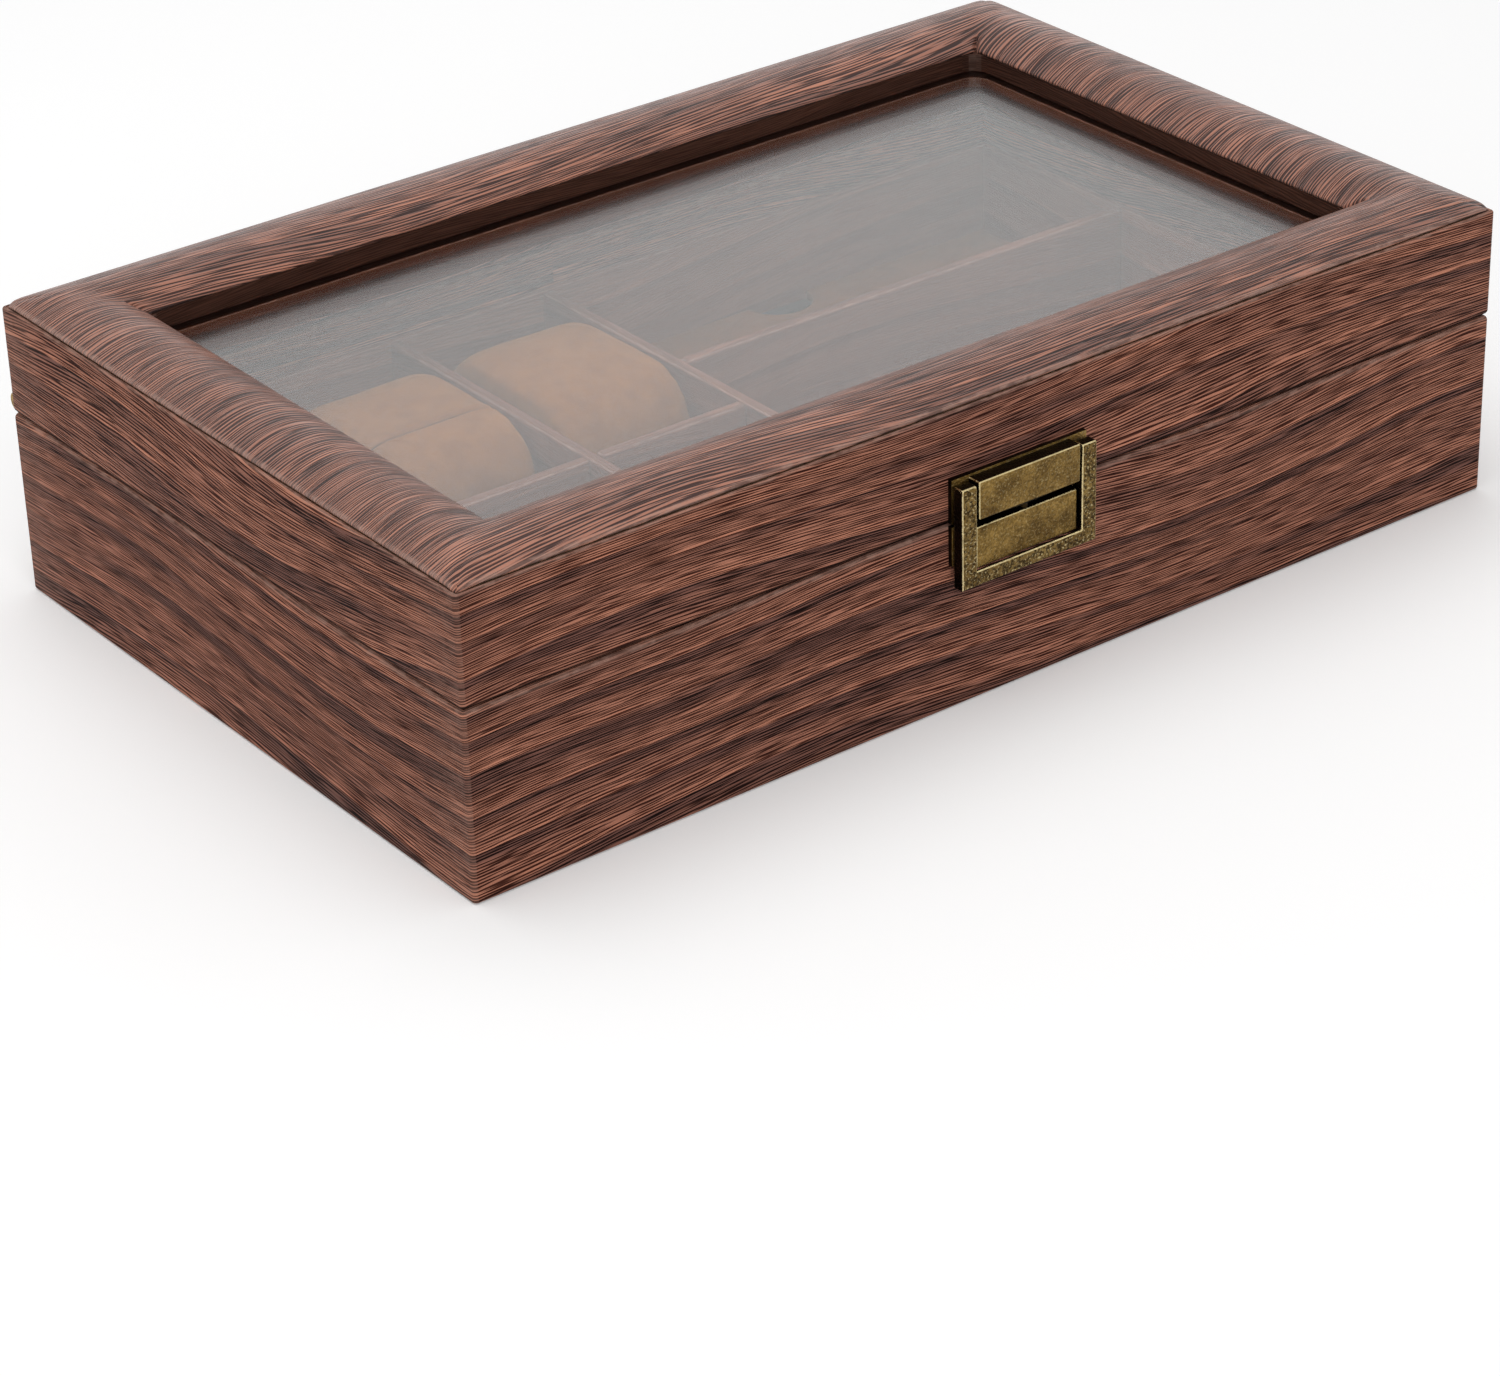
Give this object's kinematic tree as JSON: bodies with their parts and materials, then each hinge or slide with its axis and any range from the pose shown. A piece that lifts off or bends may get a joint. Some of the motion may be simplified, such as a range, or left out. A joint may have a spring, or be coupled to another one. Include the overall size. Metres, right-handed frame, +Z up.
{
  "type": "watch box",
  "caption": "Lidded watch and eyeglasses box in wood-grain leatherette, with a padded glass-window lid, brass flip latch, quadrant hinges and lift-out pillows.",
  "frame": {"origin": "middle of the flat underside, on the table", "axes": "+X along the front to the right, +Y to the hinged back, +Z up"},
  "size_m": [0.32, 0.2123, 0.0834],
  "materials": {
    "board": "raw fibreboard",
    "leatherette": "satin wood-grain emboss",
    "underside": "short-pile felt",
    "velvet": "tan velvet",
    "card": "grey board",
    "suede": "camel suede",
    "foam": "open-cell foam",
    "pane_glass": "clear",
    "antique_brass": "antique, rubbed edges",
    "hinge_brass": "satin"
  },
  "bodies": {
    "base": {"base_front_board": "board", "base_back_board": "board", "base_left_board": "board", "base_right_board": "board", "base_floor_board": "board", "base_wrap": "leatherette", "base_sole": "underside", "base_liners_long": "leatherette", "base_liners_short": "leatherette", "watch_floor_lining": "velvet", "main_divider": "leatherette", "watch_row_divider": "leatherette", "watch_column_dividers": "leatherette", "glasses_dividers": "leatherette", "panel_risers": "card", "latch_base_block": "antique_brass", "latch_base_nails": "antique_brass", "latch_peg": "antique_brass", "hinge_base_leaf_left": "hinge_brass", "hinge_base_leaf_right": "hinge_brass", "hinge_pins": "hinge_brass", "hinge_base_screws": "hinge_brass"},
    "lid": {"lid_front_board": "board", "lid_back_board": "board", "lid_left_board": "board", "lid_right_board": "board", "lid_top_board": "board", "lid_wrap": "leatherette", "lid_top_foam": "foam", "lid_top_cover": "leatherette", "window_reveal": "leatherette", "window_pane": "pane_glass", "window_retainer": "leatherette", "lid_liners_long": "leatherette", "lid_liners_short": "leatherette", "latch_lid_bar": "antique_brass", "latch_lid_nails": "antique_brass", "hinge_lid_leaf_left": "hinge_brass", "hinge_lid_leaf_right": "hinge_brass", "hinge_lid_screws": "hinge_brass"},
    "bail": {"latch_bail": "antique_brass", "bail_pivot_pins": "antique_brass"},
    "stay_left": {"hinge_stay_left": "hinge_brass"},
    "stay_right": {"hinge_stay_right": "hinge_brass"},
    "pillow_front_left": {"pillow_cover_front_left": "suede", "pillow_core_front_left": "foam"},
    "pillow_front_middle": {"pillow_cover_front_middle": "suede", "pillow_core_front_middle": "foam"},
    "pillow_front_right": {"pillow_cover_front_right": "suede", "pillow_core_front_right": "foam"},
    "pillow_back_left": {"pillow_cover_back_left": "suede", "pillow_core_back_left": "foam"},
    "pillow_back_middle": {"pillow_cover_back_middle": "suede", "pillow_core_back_middle": "foam"},
    "pillow_back_right": {"pillow_cover_back_right": "suede", "pillow_core_back_right": "foam"},
    "panel_front": {"glasses_panel_front": "velvet"},
    "panel_middle": {"glasses_panel_middle": "velvet"},
    "panel_back": {"glasses_panel_back": "velvet"}
  },
  "joints": [
    {"name": "lid_hinge", "type": "hinge", "parent": "base", "child": "lid", "pos_m": [0, 0.1045, 0.0502], "axis": [-1, 0, 0], "range_deg": [0, 92]},
    {"name": "latch_bail", "type": "hinge", "parent": "lid", "child": "bail", "pos_m": [0, -0.10355, 0.05925], "axis": [-1, 0, 0], "range_deg": [0, 178]},
    {"name": "stay_slide_left", "type": "hinge", "parent": "base", "child": "stay_left", "pos_m": [0, 0.1045, 0.0502], "axis": [-1, 0, 0], "range_deg": [0, 46]},
    {"name": "stay_slide_right", "type": "hinge", "parent": "base", "child": "stay_right", "pos_m": [0, 0.1045, 0.0502], "axis": [-1, 0, 0], "range_deg": [0, 46]},
    {"name": "lift_pillow_front_left", "type": "slide", "parent": "base", "child": "pillow_front_left", "axis": [0, 0, 1], "range_m": [0, 0.021]},
    {"name": "lift_pillow_front_middle", "type": "slide", "parent": "base", "child": "pillow_front_middle", "axis": [0, 0, 1], "range_m": [0, 0.021]},
    {"name": "lift_pillow_front_right", "type": "slide", "parent": "base", "child": "pillow_front_right", "axis": [0, 0, 1], "range_m": [0, 0.021]},
    {"name": "lift_pillow_back_left", "type": "slide", "parent": "base", "child": "pillow_back_left", "axis": [0, 0, 1], "range_m": [0, 0.021]},
    {"name": "lift_pillow_back_middle", "type": "slide", "parent": "base", "child": "pillow_back_middle", "axis": [0, 0, 1], "range_m": [0, 0.021]},
    {"name": "lift_pillow_back_right", "type": "slide", "parent": "base", "child": "pillow_back_right", "axis": [0, 0, 1], "range_m": [0, 0.021]},
    {"name": "lift_panel_front", "type": "slide", "parent": "base", "child": "panel_front", "axis": [0, 0, 1], "range_m": [0, 0.05]},
    {"name": "lift_panel_middle", "type": "slide", "parent": "base", "child": "panel_middle", "axis": [0, 0, 1], "range_m": [0, 0.05]},
    {"name": "lift_panel_back", "type": "slide", "parent": "base", "child": "panel_back", "axis": [0, 0, 1], "range_m": [0, 0.05]}
  ],
  "couplings": [
    {"joint": "stay_slide_left", "follows": "lid_hinge", "ratio": 0.5},
    {"joint": "stay_slide_right", "follows": "lid_hinge", "ratio": 0.5}
  ]
}
